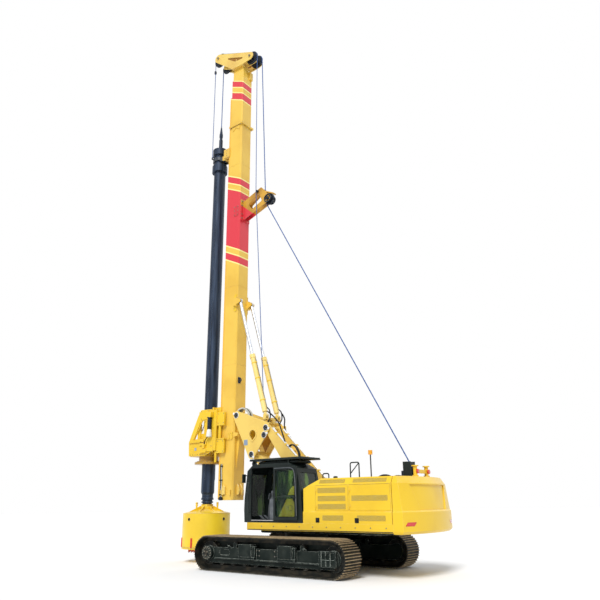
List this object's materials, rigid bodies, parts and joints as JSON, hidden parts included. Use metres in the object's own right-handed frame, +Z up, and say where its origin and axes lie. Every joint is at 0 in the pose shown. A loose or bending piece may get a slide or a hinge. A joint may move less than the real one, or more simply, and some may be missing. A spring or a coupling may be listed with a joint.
{
  "type": "rotary piling rig",
  "caption": "Crawler-mounted rotary piling rig with a yellow house, black cab, tall box mast, telescopic kelly bar, rotary drive and drilling bucket.",
  "frame": {"origin": "ground, under the middle of the bounding box", "axes": "+X forward from the house to the mast, +Y to the operator's left, +Z up"},
  "size_m": [9.5122, 4.1, 21.1699],
  "materials": {
    "yellow": "gloss",
    "black": "satin",
    "dark": "satin",
    "blue_black": "satin",
    "red": "satin",
    "steel": "worn",
    "chrome": "polished",
    "glass": "clear",
    "fabric": "matte",
    "amber": "gloss"
  },
  "bodies": {
    "car_body": {"car_body": "dark", "slew_ring": "dark"},
    "crawler_left": {"track_left": "steel", "wheels_left": "dark", "track_frame_left": "dark"},
    "crawler_right": {"track_right": "steel", "wheels_right": "dark", "track_frame_right": "dark"},
    "house": {"deck": "yellow", "boom_support": "yellow", "hood_left": "yellow", "hood_right": "yellow", "engine": "dark", "hydraulic_tank": "dark", "counterweight": "yellow", "tail_lamps": "red", "main_winch": "dark", "cab_shell": "black", "cab_wall_left": "black", "cab_wall_right": "black", "cab_guard": "black", "cab_glass": "glass", "seat": "fabric", "console": "black", "beacon": "amber", "mast_rest": "yellow", "rest_lamps": "red", "rope_guide": "black", "handrails": "black", "mirror": "black"},
    "cab_door": {"cab_door": "black", "cab_door_glass": "glass"},
    "boom": {"boom": "yellow"},
    "link": {"link": "yellow"},
    "triangle": {"triangle": "yellow"},
    "luff_barrels": {"luff_barrels": "yellow"},
    "luff_rods": {"luff_rods": "chrome"},
    "mast_cross": {"mast_cross": "yellow"},
    "cylinder_carrier": {"cylinder_carrier": "yellow"},
    "mast_barrels": {"mast_barrels": "yellow"},
    "mast_rods": {"mast_rods": "chrome"},
    "mast": {"mast_lower": "yellow", "mast_upper": "yellow", "mast_head": "yellow", "head_sheaves": "dark", "mid_sheave": "yellow", "mid_wheel": "dark"},
    "rotary": {"rotary_drive": "yellow"},
    "kelly_guide": {"kelly_guide": "yellow", "kelly_swivel": "blue_black"},
    "kelly": {"kelly_bar": "blue_black", "bucket_shell": "yellow", "wear_bars": "red"},
    "bucket_floor": {"bucket_floor": "yellow"},
    "hood_door_front_left": {"hood_door_front_left": "yellow"},
    "hood_door_rear_left": {"hood_door_rear_left": "yellow"},
    "hood_door_front_right": {"hood_door_front_right": "yellow"},
    "hood_door_rear_right": {"hood_door_rear_right": "yellow"}
  },
  "joints": [
    {"name": "gauge_left", "type": "slide", "parent": "car_body", "child": "crawler_left", "axis": [0, 1, 0], "range_m": [-0.55, 0]},
    {"name": "gauge_right", "type": "slide", "parent": "car_body", "child": "crawler_right", "axis": [0, -1, 0], "range_m": [-0.55, 0]},
    {"name": "slew", "type": "hinge", "parent": "car_body", "child": "house", "pos_m": [-0.41, 0, 1.12], "axis": [0, 0, 1], "continuous": true},
    {"name": "cab_door_swing", "type": "hinge", "parent": "house", "child": "cab_door", "pos_m": [-0.34, 1.5, 2.1], "axis": [0, 0, -1], "range_deg": [0, 180]},
    {"name": "hood_door_front_left_swing", "type": "hinge", "parent": "house", "child": "hood_door_front_left", "pos_m": [-1.807, 1.465, 2], "axis": [0, 0, -1], "range_deg": [0, 100]},
    {"name": "hood_door_rear_left_swing", "type": "hinge", "parent": "house", "child": "hood_door_rear_left", "pos_m": [-2.912, 1.465, 2], "axis": [0, 0, -1], "range_deg": [0, 100]},
    {"name": "hood_door_front_right_swing", "type": "hinge", "parent": "house", "child": "hood_door_front_right", "pos_m": [-1.807, -1.465, 2], "axis": [0, 0, 1], "range_deg": [0, 100]},
    {"name": "hood_door_rear_right_swing", "type": "hinge", "parent": "house", "child": "hood_door_rear_right", "pos_m": [-2.912, -1.465, 2], "axis": [0, 0, 1], "range_deg": [0, 100]},
    {"name": "boom_luff", "type": "hinge", "parent": "house", "child": "boom", "pos_m": [-0.41, 0, 1.52], "axis": [0, -1, 0], "range_deg": [-8, 18]},
    {"name": "link_swing", "type": "hinge", "parent": "house", "child": "link", "pos_m": [-1.02, 0, 2.35], "axis": [0, -1, 0], "range_deg": [-8, 18]},
    {"name": "triangle_level", "type": "hinge", "parent": "boom", "child": "triangle", "pos_m": [1.55, 0, 3.4], "axis": [0, -1, 0], "range_deg": [-18, 8]},
    {"name": "luff_barrel_swing", "type": "hinge", "parent": "house", "child": "luff_barrels", "pos_m": [0.55, 0, 1.5], "axis": [0, -1, 0], "range_deg": [-9.66, 21.1]},
    {"name": "luff_rod_stroke", "type": "slide", "parent": "luff_barrels", "child": "luff_rods", "axis": [0.3373, 0, 0.9414], "range_m": [-0.141, 0.304]},
    {"name": "mast_tilt", "type": "hinge", "parent": "triangle", "child": "mast_cross", "pos_m": [2.27, 0, 4.75], "axis": [0, 1, 0], "range_deg": [-15, 5]},
    {"name": "mast_side", "type": "hinge", "parent": "mast_cross", "child": "mast", "pos_m": [2.27, 0, 4.75], "axis": [1, 0, 0], "range_deg": [-4, 4]},
    {"name": "carrier_rock", "type": "hinge", "parent": "triangle", "child": "cylinder_carrier", "pos_m": [0.99, 0, 4.53], "axis": [1, 0, 0], "range_deg": [-4, 4]},
    {"name": "mast_barrel_swing", "type": "hinge", "parent": "cylinder_carrier", "child": "mast_barrels", "pos_m": [0.99, 0, 4.64], "axis": [0, 1, 0], "range_deg": [-14.25, 5.08]},
    {"name": "mast_rod_stroke", "type": "slide", "parent": "mast_barrels", "child": "mast_rods", "axis": [0.2867, 0, 0.958], "range_m": [-0.332, 0.117]},
    {"name": "crowd", "type": "slide", "parent": "mast", "child": "rotary", "axis": [0, 0, 1], "range_m": [-0.3, 5]},
    {"name": "kelly_hoist", "type": "slide", "parent": "mast", "child": "kelly_guide", "axis": [0, 0, 1], "range_m": [-9.8, 0.85]},
    {"name": "kelly_turn", "type": "hinge", "parent": "kelly_guide", "child": "kelly", "pos_m": [3.92, 0, 2], "axis": [0, 0, 1], "continuous": true},
    {"name": "bucket_floor_swing", "type": "hinge", "parent": "kelly", "child": "bucket_floor", "pos_m": [3.06, 0, 0.454], "axis": [0, 1, 0], "range_deg": [0, 75]}
  ],
  "couplings": [
    {"joint": "link_swing", "follows": "boom_luff", "ratio": 1},
    {"joint": "triangle_level", "follows": "boom_luff", "ratio": -1},
    {"joint": "luff_barrel_swing", "follows": "boom_luff", "ratio": 1.1447},
    {"joint": "luff_rod_stroke", "follows": "boom_luff", "m_per_rad": 0.9358},
    {"joint": "mast_barrel_swing", "follows": "mast_tilt", "ratio": 0.9164},
    {"joint": "mast_rod_stroke", "follows": "mast_tilt", "m_per_rad": 1.2283},
    {"joint": "carrier_rock", "follows": "mast_side", "ratio": 0.952}
  ]
}
